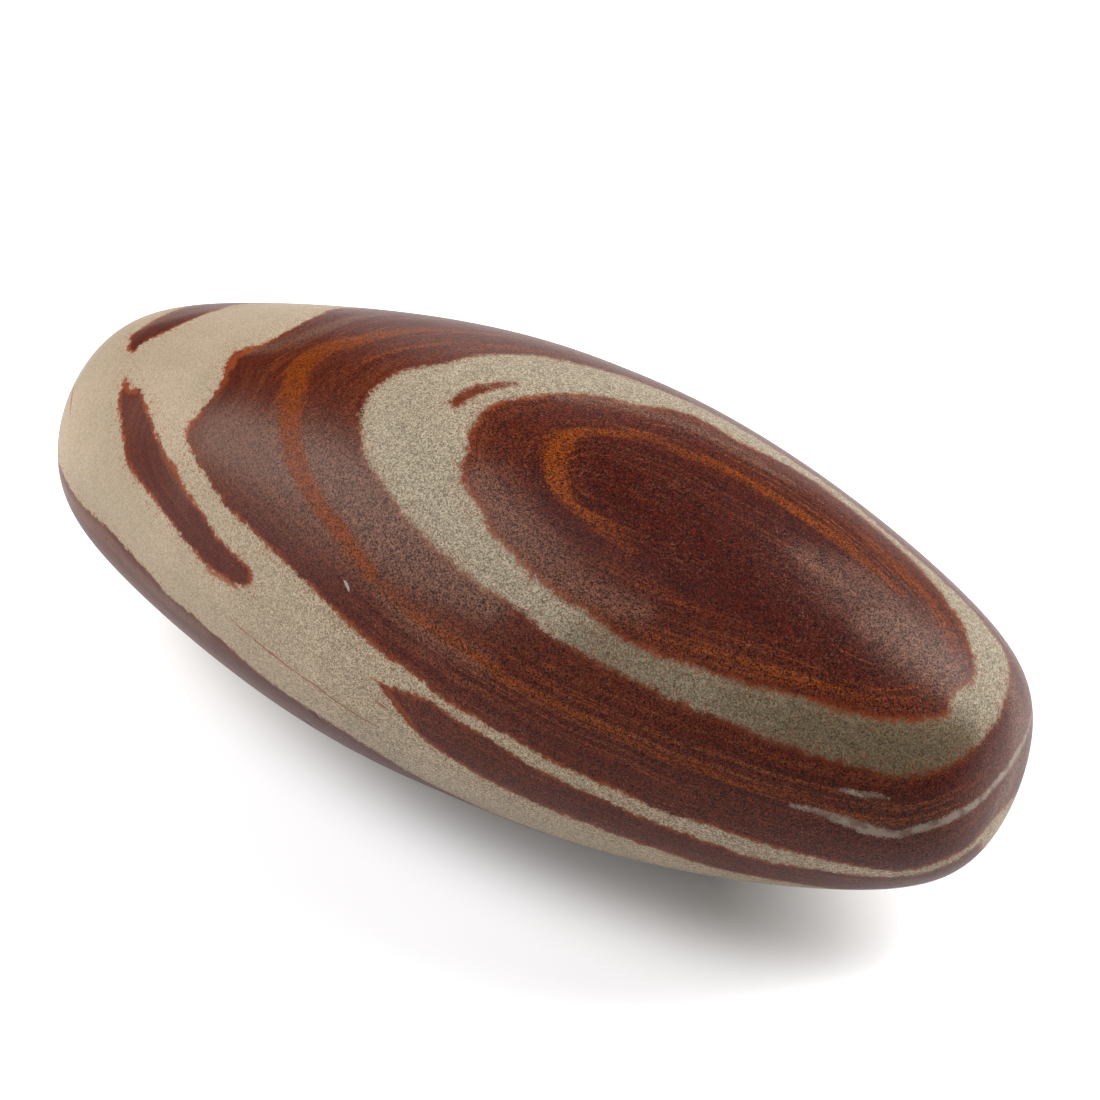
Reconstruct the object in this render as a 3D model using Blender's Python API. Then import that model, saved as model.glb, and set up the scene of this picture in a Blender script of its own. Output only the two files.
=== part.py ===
"""A shiva lingam stone: one smooth, banded river stone, lying on its side.

Run with: blender --background --python part.py

The stone is one solid. It is measured from its heart, a point near its middle: along any
direction from there, a formula gives how far away the skin is. That formula is a spindle with
full flanks, a low dome on each blunt end, and a few broad swellings that the river and the
polisher left. Where it lies on a table it is worn flat, over an area about as big as a
fingertip.

Frame: metres, +Z up, +X along the stone towards its fuller end. The origin is on the surface
that the stone rests on, under the middle of its box.
"""

import math

import bmesh
import bpy
from mathutils import Vector

MM = 0.001

# Driving dimensions in millimetres, measured from the heart.
HEART_HEIGHT = 28.5
HEART_ALONG = 1.8
HEART_ACROSS = -0.5
GIRTH_RADIUS = 30.0
SLIM_POINT = 98.3
FULL_POINT = 89.4
SLIM_END = 71.8
FULL_END = 68.2
DOME_SPREAD = 90.0

# Proportions. A fullness of 1 would give straight flanks, and 2 those of an ellipse.
WIDER = 1.015
FLATTER = 0.985
SLIM_FULLNESS = 1.25
FULL_FULLNESS = 1.28
CHANGEOVER = 0.35
BELLY_EASE = 0.16
CORNER_SHARPNESS = 14.0

# The end domes lean a little off square, in degrees, towards the back of the stone's top.
SLIM_END_LEAN = -2.9
FULL_END_LEAN = 4.6
LEAN_BEARING = 45.0

# Broad swellings and hollows: millimetres along, degrees round from +Y towards +Z, height of
# the swelling in millimetres, and how far it spreads.
SWELLINGS = (
    (-54.0, 45.0, 0.4, 20.0),
    (-24.0, 45.0, 0.85, 20.0),
    (8.0, 45.0, 0.4, 20.0),
    (40.0, 45.0, 0.9, 20.0),
    (-24.0, 225.0, -0.1, 20.0),
    (8.0, 225.0, -1.3, 20.0),
    (40.0, 225.0, 0.4, 20.0),
    (-38.0, 330.0, 0.5, 22.0),
    (33.0, 350.0, -0.4, 20.0),
)

# Mesh: strips along each edge of the ball that the stone is shaped from.
STRIPS = 22
BALL_STRETCH = 2.0

STONE_COLOUR = (0.17, 0.062, 0.042, 1.0)
STONE_ROUGHNESS = 0.5


def clear_scene():
    for old in list(bpy.data.objects):
        bpy.data.objects.remove(old, do_unlink=True)


def round_the_axis(along, degrees, radius):
    """The point at this place along the stone, this far from its axis, at this turn round it."""
    turn = math.radians(degrees)
    return Vector((along, radius * math.cos(turn), radius * math.sin(turn)))


def end_domes():
    """Each end's dome, as the direction it faces and its distance from the heart."""
    domes = []
    for side, lean, distance in ((-1, SLIM_END_LEAN, SLIM_END), (1, FULL_END_LEAN, FULL_END)):
        lift = math.sin(math.radians(lean))
        facing = round_the_axis(side * math.cos(math.radians(lean)), LEAN_BEARING, lift)
        domes.append((facing, distance))
    return domes


def skin_point(direction, domes):
    """Where the skin is along a unit direction from the heart, in millimetres."""
    fuller = 0.5 * (1 + math.tanh(direction.x / CHANGEOVER))
    point_reach = SLIM_POINT + (FULL_POINT - SLIM_POINT) * fuller
    fullness = SLIM_FULLNESS + (FULL_FULLNESS - SLIM_FULLNESS) * fuller
    girth = math.hypot(direction.y / WIDER, direction.z / FLATTER) / GIRTH_RADIUS
    belly = BELLY_EASE * girth
    length = math.hypot(direction.x / point_reach, belly) - belly
    spindle = (length**fullness + girth**fullness) ** (1 / fullness)
    limit = spindle**CORNER_SHARPNESS
    for facing, distance in domes:
        ahead = max(0.0, direction.dot(facing))
        aside = (direction - direction.dot(facing) * facing).length
        limit += math.hypot(ahead / distance, aside / DOME_SPREAD) ** CORNER_SHARPNESS
    skin = direction * limit ** (-1 / CORNER_SHARPNESS)
    swell = 0.0
    for along, degrees, height, spread in SWELLINGS:
        crest = round_the_axis(along, degrees, GIRTH_RADIUS)
        swell += height * math.exp(-(skin - crest).length_squared / (2 * spread**2))
    return skin + direction * swell


def even_ball():
    """A ball of equal square patches, made from a divided cube with its corners eased."""
    ball = bmesh.new()
    bmesh.ops.create_cube(ball, size=2.0)
    bmesh.ops.subdivide_edges(ball, edges=ball.edges, cuts=STRIPS - 1, use_grid_fill=True)
    for vert in ball.verts:
        eased = [math.tan(value * math.pi / 4) for value in vert.co]
        vert.co = Vector((BALL_STRETCH * eased[0], eased[1], eased[2])).normalized()
    return ball


def make_stone():
    """The whole stone. What would dip under the table is worn flat at the table's height."""
    domes = end_domes()
    heart = Vector((HEART_ALONG, HEART_ACROSS, HEART_HEIGHT))
    body = even_ball()
    for vert in body.verts:
        skin = heart + skin_point(vert.co, domes)
        skin.z = max(skin.z, 0.0)
        vert.co = skin * MM
    bmesh.ops.recalc_face_normals(body, faces=body.faces)
    mesh = bpy.data.meshes.new("stone")
    body.to_mesh(mesh)
    body.free()
    mesh.shade_smooth()
    stone = bpy.data.objects.new("stone", mesh)
    bpy.context.scene.collection.objects.link(stone)
    return stone


def stone_finish():
    """Satin, tumbled sandstone in the red-brown that covers most of it."""
    finish = bpy.data.materials.new("banded_stone")
    finish.use_nodes = True
    shader = finish.node_tree.nodes["Principled BSDF"]
    shader.inputs["Base Color"].default_value = STONE_COLOUR
    shader.inputs["Roughness"].default_value = STONE_ROUGHNESS
    shader.inputs["Metallic"].default_value = 0.0
    return finish


def main():
    clear_scene()
    stone = make_stone()
    stone.data.materials.append(stone_finish())


main()
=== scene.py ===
"""A shiva lingam stone: the looks of one smooth, banded river stone lying on its side.

The skin is one surface of two parameters, the same formula as the solid it dresses. The banding
is painted by rules, not by a picture. Each edge of a band is a smooth closed line over the skin,
led through a few listed points. The seen points are pixels of a 1100 by 1100 view through
this file's own camera, and the hidden ones are places on the stone: millimetres along it and
degrees round it. From those lines every point of the skin learns how deep in dark or light rock
it lies and which layer it belongs to, and the material turns that into grains, rims and streaks.

Frame: metres, +Z up, +X along the stone towards its fuller end.
"""

import math

import bpy
import numpy as np
from bpy.props import FloatProperty, FloatVectorProperty, PointerProperty
from mathutils import Matrix


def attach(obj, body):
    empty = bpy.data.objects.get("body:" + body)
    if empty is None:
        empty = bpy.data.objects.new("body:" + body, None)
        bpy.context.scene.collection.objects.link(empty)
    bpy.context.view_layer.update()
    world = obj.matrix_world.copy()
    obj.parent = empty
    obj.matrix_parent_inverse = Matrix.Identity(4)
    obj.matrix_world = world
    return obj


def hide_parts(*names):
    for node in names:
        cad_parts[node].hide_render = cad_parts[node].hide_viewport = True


bl_info = {
    "name": "Shiva Lingam Stone",
    "version": (1, 0, 0),
    "blender": (4, 5, 0),
    "location": "3D View > Sidebar > Stone",
    "description": "Builds a banded shiva lingam stone and a plain studio around it",
    "category": "Add Mesh",
}

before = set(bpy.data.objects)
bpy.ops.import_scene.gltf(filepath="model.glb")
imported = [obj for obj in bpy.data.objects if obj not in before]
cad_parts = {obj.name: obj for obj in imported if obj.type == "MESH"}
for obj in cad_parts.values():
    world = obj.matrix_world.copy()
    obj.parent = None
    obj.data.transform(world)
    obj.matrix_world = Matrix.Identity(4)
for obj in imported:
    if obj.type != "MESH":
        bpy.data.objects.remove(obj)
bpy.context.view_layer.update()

MM = 0.001

# Proportions of the spindle. A fullness of 1 would give straight flanks, and 2 an ellipse's.
WIDER = 1.015
FLATTER = 0.985
SLIM_FULLNESS = 1.25
FULL_FULLNESS = 1.28
CHANGEOVER = 0.35
BELLY_EASE = 0.16
CORNER_SHARPNESS = 14.0
SLIM_END_LEAN = -2.9
FULL_END_LEAN = 4.6
LEAN_BEARING = 45.0

# Broad swellings and hollows: millimetres along, degrees round from +Y towards +Z, height of
# the swelling in millimetres, and how far it spreads.
SWELLINGS = (
    (-54.0, 45.0, 0.4, 20.0),
    (-24.0, 45.0, 0.85, 20.0),
    (8.0, 45.0, 0.4, 20.0),
    (40.0, 45.0, 0.9, 20.0),
    (-24.0, 225.0, -0.1, 20.0),
    (8.0, 225.0, -1.3, 20.0),
    (40.0, 225.0, 0.4, 20.0),
    (-38.0, 330.0, 0.5, 22.0),
    (33.0, 350.0, -0.4, 20.0),
)

# The grid of the skin: rings from end to end, and points round each ring.
RINGS = 280
POINTS_ROUND = 350
GRID_STRETCH = 2.0

# The view that the seen points are given in.
VIEW_SIDE = 1100
SENSOR = 36.0

# Spacing of the samples along a line over the skin, in millimetres.
LINE_STEP = 0.35
SAMPLES_PER_SPAN = 16

# How far a sight line is walked each side of the heart, in millimetres, and how often a step or
# an angle is halved.
SIGHT_SPAN = 90
HALVINGS = 30

# Points compared with a line at a time.
SLAB = 6000

# Size on the stone of a pixel, and the least width of a stain or painted mark, in millimetres.
PIXEL_SIZE = 0.128
LEAST_WIDTH = 0.3

# Numbers of beds between the eye's core, its edge, the ring's outer edge and the middle band's,
# and the thickness of a bed beyond them in millimetres.
EYE_BEDS = 9.0
RING_BEDS = 5.0
MIDDLE_BEDS = 12.0
BED = 1.5

# Distance given where the skin has no thin line near, in millimetres.
LINE_FAR = 50.0

# A direction that no outline's middle lies in, and a number too small to matter, which stands in
# for a divisor of nothing.
ODD_WAY = (0.3, 0.5, 0.8)
TINY = 1e-6

# Nearness within which the outlines round a point share their say on its rim and fray, in
# millimetres, and the power at which an outline's say falls with distance.
SHARED_REACH = 0.3
SHARED_FALL = 3

# Finish: how rough the light and the dark rock are, and how strongly both mirror.
LIGHT_ROUGHNESS = 0.5
DARK_ROUGHNESS = 0.37
GLOSS = 0.1

# How far lumps and teeth push the dark rock's edge about, their sizes, and how far each side of
# the edge its rust rim reaches and how big the rim's gaps are, all in millimetres.
RAGGED_SIZE = 2.4
RAGGED_REACH = 0.6
TOOTH_SIZE = 0.75
TOOTH_REACH = 0.75
RIM_REACH = 0.46
RIM_PATCH = 3.5

# Sizes in millimetres of the grains, specks and patches.
GRAIN_SIZE = 0.155
SAND_SIZE = 0.22
LIGHT_SPECK_SIZE = 0.17
ORANGE_SPECK_SIZE = 0.2
DARK_SPECK_SIZE = 0.18
CLOUD_SIZE = 14.0
CURL_SIZE = 1.1
SCUFFED_PATCH = 9.0
FADED_SIZE = 1.3

# Between these places along the stone its sand goes from fine to coarse, and between these
# depths in the light rock its orange specks go from few to many, in millimetres.
COARSER_ALONG = (-54.0, 2.0)
SPECKS_NEAR_DARK = (-3.2, -0.1)

# Thickness of the fine and the broad beds, in beds of the layer count, and how many of those a
# millimetre along a bed is worth.
FINE_BED = 0.45
BROAD_BED = 1.9
ALONG_BED = 0.035

# Relief too fine for the mesh, in millimetres.
GRIT_HEIGHT = 0.04
DIMPLE_SIZE = 1.6
DIMPLE_HEIGHT = 0.02
PIT_SPACING = 2.2
PIT_DEPTH = 0.05

# Colour of the floor's glow and the air, and then those of the smallest marks.
WHITE = (1.0, 1.0, 1.0)
DARK_SPECK = (0.05, 0.032, 0.02)
DARK_BED = (0.03, 0.006, 0.004)
SCUFF = (0.15, 0.075, 0.05)
DARK_GRAIN = (0.012, 0.004, 0.003)
PALE_GRAIN = (0.14, 0.05, 0.028)
CHIPPED = (0.3, 0.27, 0.25)
CRACKED = (0.02, 0.006, 0.004)

# The floor's corners, how far it lies under the stone's lowest point, in metres, and its finish.
FLOOR_CORNERS = 96
FLOOR_DROP = 0.0001
FLOOR_COLOUR = (0.85, 0.85, 0.86)
FLOOR_ROUGHNESS = 0.7
FLOOR_GLOSS = 0.2

# The lamps alone light the floor out to the first distance. From there its glow grows, until it
# is full at the second. Both are in metres.
LIT_FLOOR = 0.35
FAR_FLOOR = 1.0

# Each light wall is made of square panels: bearing from +X and elevation in degrees, and share
# of the wall's brightness. Panel size and distance from the stone are in metres.
LEFT_WALL = ((-158, 28, 0.75), (-158, 48, 0.7), (-138, 8, 0.45), (-138, 48, 1.0),
             (-138, 68, 0.55), (-118, 28, 0.55))
BACK_WALL = ((38, 28, 1.0), (38, 48, 0.8), (61, 28, 0.5), (61, 48, 0.45), (123, 20, 0.2))
PANEL_SIZE = 0.22
PANEL_DISTANCE = 0.6

# Outlines of the dark and light rock: seen points as pixels, then hidden points as places.
EYE_SEEN = (
    (460, 476), (466, 454), (471, 430), (480, 414), (500, 402), (528, 396), (560, 394),
    (600, 396), (640, 406), (674, 410), (700, 419), (744, 444), (792, 468), (840, 500),
    (876, 528), (908, 556), (940, 591), (962, 625), (974, 661), (972, 681), (952, 695),
    (947, 713), (922, 721), (880, 720), (842, 711), (788, 694), (748, 685), (706, 670),
    (664, 657), (626, 640), (592, 616), (550, 590), (520, 562), (494, 534), (476, 502),
)
RING_SEEN = (
    (361, 430), (363, 408), (376, 388), (400, 372), (440, 364), (484, 355), (532, 355),
    (580, 364), (632, 379), (672, 395), (704, 409), (740, 428), (780, 452), (820, 479),
    (860, 509), (900, 543), (937, 575), (967, 604), (993, 634), (1007, 657), (1008, 686),
    (998, 717), (969, 752), (928, 772), (898, 776), (860, 767), (820, 755), (772, 740),
    (732, 722), (688, 706), (640, 682), (604, 664), (552, 636), (520, 610), (480, 584),
    (448, 558), (416, 528), (388, 492), (368, 460),
)
MIDDLE_SEEN = (
    (1011, 800), (996, 816), (974, 841), (940, 861), (900, 871), (860, 867), (812, 857),
    (760, 843), (706, 824), (660, 811), (616, 789), (588, 778), (544, 757), (512, 738),
    (480, 720), (440, 697), (424, 682), (400, 666), (372, 646), (344, 620), (306, 582),
    (274, 552), (254, 532), (226, 506), (206, 476), (190, 448), (187, 429), (204, 408),
    (222, 382), (225, 366), (236, 352), (262, 344), (290, 330), (318, 316), (346, 308),
)
MIDDLE_HIDDEN = (
    (-28, 44), (-12, 28), (6, 16), (26, 8), (44, 0), (57, -12), (65, -35),
)
LOWER_SEEN = (
    (820, 887), (780, 881), (720, 869), (660, 850), (600, 829), (536, 803), (488, 780),
    (448, 756), (418, 734), (402, 716), (388, 698), (380, 684), (400, 691), (428, 700),
    (452, 717), (480, 734), (510, 752), (542, 772), (586, 792), (620, 808), (668, 828),
    (716, 845), (760, 860), (820, 870), (880, 877), (920, 874), (952, 863), (979, 844),
)
LOWER_HIDDEN = (
    (67, 262), (64, 300), (58, 325), (46, 342), (28, 352), (8, 0), (-10, 10), (-2, 354),
    (14, 338), (30, 322), (44, 305), (54, 285), (58, 262), (56, 240),
)
SLANT_PATCH_SEEN = (
    (125, 378), (131, 388), (139, 387), (146, 404), (156, 430), (164, 452), (175, 467),
    (184, 486), (203, 514), (215, 534), (242, 560), (251, 574), (248, 588), (226, 580),
    (199, 558), (174, 526), (148, 492), (130, 468), (122, 440), (119, 410),
)
TOP_PATCH_SEEN = (
    (242, 304), (220, 309), (198, 317), (170, 330), (146, 341), (131, 352), (131, 336),
    (150, 323), (172, 312),
)
TOP_PATCH_HIDDEN = (
    (-60, 62), (-53, 42), (-44, 28), (-36, 22), (-40, 36), (-46, 50),
)
DASH_SEEN = (
    (449, 402), (464, 390), (494, 383), (517, 383), (492, 390), (472, 397), (458, 406),
)
KEEL_SEEN = (
    (59, 462), (70, 488), (86, 508), (110, 530), (134, 556), (170, 596), (198, 620),
    (230, 648), (270, 682), (308, 708), (340, 729), (380, 754), (420, 778), (460, 798),
    (500, 816), (540, 831), (590, 848),
)
KEEL_HIDDEN = (
    (28, 230), (16, 236), (-4, 238), (-24, 236), (-42, 232), (-56, 226), (-65, 214),
    (-68, 190),
)
BACK_PATCH_HIDDEN = (
    (-50, 330), (-30, 322), (-8, 312), (12, 300), (24, 288), (14, 284), (-8, 290),
    (-30, 300), (-48, 314),
)

# Outline name, seen points, hidden points, strength of its rust rim, and how far its grains
# stray across it, in millimetres.
OUTLINES = (
    ("eye", EYE_SEEN, (), 0.75, 0.6),
    ("ring", RING_SEEN, (), 0.3, 0.65),
    ("middle", MIDDLE_SEEN, MIDDLE_HIDDEN, 0.9, 0.3),
    ("lower", LOWER_SEEN, LOWER_HIDDEN, 0.8, 0.3),
    ("slant_patch", SLANT_PATCH_SEEN, (), 1.0, 0.3),
    ("top_patch", TOP_PATCH_SEEN, TOP_PATCH_HIDDEN, 1.0, 0.3),
    ("dash", DASH_SEEN, (), 0.45, 0.6),
    ("keel", KEEL_SEEN, KEEL_HIDDEN, 0.4, 0.25),
    ("back_patch", (), BACK_PATCH_HIDDEN, 0.9, 0.4),
)
EYE_CORE_SEEN = ((600, 480), (660, 505), (720, 535), (780, 565), (840, 600), (880, 630))

# Stains, painted shade and painted sheen along a line: strength, then points with the mark's half
# width, in pixels or in millimetres like the points before them.
OCHRE_SEEN = (
    (1.0, ((560, 346, 1.5), (520, 338, 3), (470, 332, 5), (430, 330, 7), (400, 332, 9),
           (370, 337, 11),
           (340, 344, 12), (316, 353, 14), (300, 368, 15), (295, 388, 16), (292, 412, 15),
           (293, 440, 14), (302, 474, 11), (318, 502, 10), (336, 526, 10), (352, 548, 9),
           (372, 572, 7))),
    (0.4, ((330, 322, 2), (300, 334, 3), (286, 346, 4), (276, 362, 3), (272, 380, 2))),
    (0.75, ((600, 362, 1), (560, 354, 2), (500, 345, 3), (460, 343, 3), (420, 346, 4),
            (390, 352, 4), (366, 361, 3))),
    (0.6, ((470, 321, 1.5), (430, 318, 2.5), (390, 320, 3), (350, 327, 3), (326, 335, 2))),
    (0.45, ((372, 572, 8), (404, 602, 12), (440, 628, 14), (470, 648, 12), (500, 668, 7))),
    (0.62, ((470, 650, 2), (500, 677, 2), (540, 696, 2.5), (580, 717, 2), (620, 735, 2.5),
            (654, 753, 2.5), (700, 769, 4), (730, 782, 4.5), (760, 789, 3.5), (800, 797, 2.5),
            (840, 812, 2), (880, 819, 1.5), (910, 819, 1))),
    (0.45, ((520, 664, 2), (560, 692, 2), (600, 713, 2), (640, 731, 2), (680, 748, 2),
            (710, 768, 2))),
    (0.3, ((560, 728, 2), (600, 750, 2.5), (640, 770, 2.5), (676, 790, 2.5), (700, 800, 2))),
    (0.8, ((568, 494, 8), (558, 474, 14), (556, 454, 16), (566, 438, 12), (584, 431, 8))),
    (0.68, ((580, 432, 8), (630, 434, 7), (660, 441, 7), (690, 454, 8), (720, 467, 9),
            (746, 480, 8), (776, 498, 7), (806, 518, 8), (836, 537, 8), (866, 562, 6),
            (900, 592, 5))),
    (0.45, ((562, 486, 11), (578, 508, 12), (604, 530, 14), (630, 552, 14))),
    (0.35, ((600, 530, 8), (614, 556, 10), (640, 574, 10), (672, 598, 10), (706, 615, 8),
            (740, 626, 6), (776, 640, 5), (820, 648, 4), (860, 652, 4))),
    (0.5, ((860, 534, 4), (890, 562, 7), (920, 590, 8), (944, 620, 6), (952, 650, 5))),
    (0.4, ((650, 640, 3), (700, 650, 4), (740, 662, 4), (790, 680, 5), (840, 688, 5),
           (890, 692, 5), (930, 686, 4))),
)
RUST_SEEN = (
    (1.0, ((232, 366, 5), (236, 357, 5), (250, 351, 4), (264, 345, 2))),
    (0.7, ((226, 380, 5), (216, 394, 4), (206, 406, 2))),
    (0.9, ((124, 380, 2), (127, 390, 4), (136, 392, 3))),
    (0.9, ((166, 458, 3), (172, 466, 4), (177, 476, 2))),
    (1.0, ((210, 572, 3), (222, 578, 3), (236, 586, 3))),
    (0.8, ((388, 690, 3), (396, 703, 4), (408, 718, 4), (416, 730, 2))),
    (0.6, ((760, 689, 3), (772, 693, 2))),
    (0.55, ((62, 486, 1), (72, 503, 1.5), (90, 527, 1.5), (110, 548, 1.5), (128, 566, 1))),
)
# Painted shade: the ring's lower front run, darkened in the colour where the light falls off
# towards the front.
PAINTED_SHADE_SEEN = (
    (0.2, ((560, 622, 30), (580, 632, 40), (600, 645, 50))),
    (0.62, ((590, 640, 40), (640, 664, 50), (700, 688, 56), (760, 712, 60), (830, 735, 64))),
    (0.74, ((740, 704, 60), (790, 722, 60), (850, 742, 62))),
    (0.86, ((800, 726, 60), (850, 742, 60), (900, 755, 60))),
    (1.0, ((870, 748, 60), (910, 757, 60), (950, 750, 42))),
)
# Painted sheen: soft highlights and grazing reflections on the dark rock, laid into the colour as
# paler, duller patches.
PAINTED_SHEEN_SEEN = (
    (1.0, ((222, 432, 36), (262, 450, 46), (320, 482, 56), (372, 522, 50), (430, 562, 42),
           (486, 596, 28))),
    (0.6, ((484, 480, 24), (500, 512, 30), (534, 552, 32), (580, 588, 22), (640, 612, 14))),
    (0.62, ((806, 556, 20), (840, 578, 34), (880, 606, 44), (900, 624, 44))),
    (0.95, ((880, 622, 30), (900, 634, 36), (926, 654, 36), (952, 680, 24))),
    (1.0, ((1010, 684, 16), (1018, 716, 20), (1018, 752, 20), (1002, 800, 20), (984, 832, 12))),
    (0.9, ((62, 484, 12), (84, 516, 14), (110, 542, 14), (140, 576, 14), (204, 632, 12))),
    (0.5, ((170, 450, 20), (186, 492, 18))),
    (0.8, ((140, 328, 8), (180, 315, 12), (230, 306, 8))),
    (0.6, ((376, 588, 12), (430, 632, 22), (486, 664, 12))),
    (0.7, ((250, 352, 8), (288, 342, 14), (330, 326, 12), (380, 314, 6))),
    (0.7, ((560, 398, 6), (620, 405, 10), (700, 430, 13), (750, 458, 10), (790, 482, 5))),
)
OCHRE_HIDDEN = (
    (0.9, ((-22, 56, 0.5), (-8, 42, 0.8), (8, 31, 1.0), (24, 24, 1.2), (40, 18, 0.9),
           (54, 8, 0.6), (62, -10, 0.3))),
    (0.5, ((-10, 45, 0.4), (10, 36, 0.5), (30, 30, 0.5), (48, 24, 0.4))),
)
STREAKY_SEEN = (
    (1.0, ((400, 610, 16), (450, 650, 22), (520, 685, 26), (600, 725, 28), (700, 765, 28),
           (800, 792, 24), (880, 810, 18), (950, 800, 12))),
    (0.9, ((330, 330, 10), (400, 330, 14), (470, 334, 14), (560, 346, 10), (640, 368, 8))),
    (0.9, ((640, 620, 14), (700, 645, 20), (780, 662, 22), (860, 676, 20), (930, 680, 12))),
    (0.8, ((640, 415, 10), (720, 450, 14), (800, 495, 16), (880, 555, 16), (950, 630, 12))),
)

# Thin marks along a line: points with the mark's half width in millimetres.
RUST_THREADS = (
    ((228, 616, 0.1), (238, 626, 0.2), (250, 636, 0.2), (262, 646, 0.24), (276, 657, 0.26),
     (290, 668, 0.2), (304, 678, 0.2), (316, 686, 0.24), (330, 697, 0.2), (346, 708, 0.2),
     (362, 718, 0.18), (380, 728, 0.1)),
    ((370, 677, 0.14), (378, 682, 0.22), (388, 687, 0.14)),
    ((374, 700, 0.05), (380, 704, 0.2), (388, 710, 0.1)),
    ((76, 378, 0.05), (73, 390, 0.22), (71, 404, 0.25), (70, 418, 0.1)),
)
PALE_LINES = (
    ((792, 806, 0.2), (816, 811, 0.55), (838, 819, 0.85), (862, 827, 1.05), (884, 833, 0.95),
     (900, 834, 0.65), (914, 830, 0.75), (934, 825, 0.85), (954, 816, 0.75), (976, 803, 0.6),
     (996, 783, 0.6), (1008, 768, 0.6), (1018, 752, 0.6), (1026, 736, 0.5), (1031, 718, 0.4)),
    ((836, 789, 0.05), (848, 791, 0.3), (862, 794, 0.5), (876, 796, 0.4), (888, 798, 0.05)),
)
CHIPS = (
    ((344, 581, 0.16), (346, 585, 0.3), (348, 590, 0.16)),
    ((312, 709, 0.14), (316, 714, 0.24), (320, 718, 0.14)),
    ((304, 718, 0.12), (308, 722, 0.2)),
    ((83, 478, 0.16), (87, 481, 0.16)),
)
CRACKS = (
    ((287, 431, 0.04), (293, 434, 0.09), (300, 436, 0.07), (307, 433, 0.03)),
    ((166, 503, 0.05), (170, 500, 0.09), (174, 503, 0.08), (171, 506, 0.04)),
    ((212, 501, 0.05), (215, 498, 0.09), (219, 501, 0.04)),
    ((258, 369, 0.05), (262, 373, 0.1), (267, 371, 0.05)),
)

# Depth of a chip, and how far outside its half width its slope ends, in millimetres.
CHIP_DEPTH = 0.16
CHIP_SLOPE = 0.4


def unit(vectors):
    """Each vector, or row of vectors, at length 1."""
    vectors = np.asarray(vectors, float)
    return vectors / np.linalg.norm(vectors, axis=-1, keepdims=True)


def round_the_axis(along, degrees, radius):
    """The point this far along the stone and this far from its axis, at this turn round it."""
    turn = np.radians(degrees)
    return np.stack(np.broadcast_arrays(along, radius * np.cos(turn), radius * np.sin(turn)), -1)


def skin(way, sizes):
    """The skin's points, in millimetres from the heart, along unit directions from it.

    A spindle is where (length / reach) ** fullness + (girth / radius) ** fullness is 1. Where an
    end's dome is nearer, the dome takes over, and the two blend as a high-power mean. Last, each
    swelling lifts the skin along its direction by a bell curve of the distance to its crest.
    """
    girth_radius, slim_point, full_point = sizes.girth_radius, sizes.slim_point, sizes.full_point
    x, y, z = way[:, 0], way[:, 1], way[:, 2]
    fuller = 0.5 * (1 + np.tanh(x / CHANGEOVER))
    reach = (slim_point + (full_point - slim_point) * fuller) / MM
    fullness = SLIM_FULLNESS + (FULL_FULLNESS - SLIM_FULLNESS) * fuller
    girth = np.hypot(y / WIDER, z / FLATTER) / (girth_radius / MM)
    belly = BELLY_EASE * girth
    length = np.hypot(x / reach, belly) - belly
    limit = (length**fullness + girth**fullness) ** (CORNER_SHARPNESS / fullness)
    ends = ((-1, SLIM_END_LEAN, sizes.slim_end), (1, FULL_END_LEAN, sizes.full_end))
    for side, lean, distance in ends:
        lift = math.radians(lean)
        facing = round_the_axis(side * math.cos(lift), LEAN_BEARING, math.sin(lift))
        ahead = way @ facing
        aside = np.sqrt(np.maximum(0.0, 1 - ahead**2)) / (sizes.dome_spread / MM)
        limit += np.hypot(np.maximum(0.0, ahead) / (distance / MM), aside) ** CORNER_SHARPNESS
    base = way * (limit ** (-1 / CORNER_SHARPNESS))[:, None]
    swell = np.zeros(len(way))
    for along, degrees, height, spread in SWELLINGS:
        crest = round_the_axis(along, degrees, girth_radius / MM)
        swell += height * np.exp(-((base - crest) ** 2).sum(1) / (2 * spread**2))
    return base + way * swell[:, None]


def heart(sizes):
    """The point that the skin is measured from, in millimetres."""
    return np.array((sizes.heart_along, sizes.heart_across, sizes.heart_height)) / MM


def camera_place(sizes, studio):
    """The eye's place and its back, right and up directions, in millimetres from the heart.

    The eye stands on a ball round the heart at a bearing and an elevation. It looks past the heart
    at a point a little to the right of it and above it, as the eye sees them.
    """
    bearing, lift = studio.bearing, studio.elevation
    back = np.array((math.sin(bearing) * math.cos(lift), -math.cos(bearing) * math.cos(lift),
                     math.sin(lift)))
    right = np.array((math.cos(bearing), math.sin(bearing), 0.0))
    eye = back * (studio.distance / MM)
    aim = (right * studio.aim_right + np.cross(back, right) * studio.aim_up) / MM
    back = unit(eye - aim)
    right = unit(np.cross((0.0, 0.0, 1.0), back))
    return eye, back, right, np.cross(back, right)


def share_of_skin(points, sizes):
    """How far out each point lies, from 0 at the heart through 1 on the skin."""
    away = np.linalg.norm(points, axis=1)
    return away / np.linalg.norm(skin(points / away[:, None], sizes), axis=1)


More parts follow.
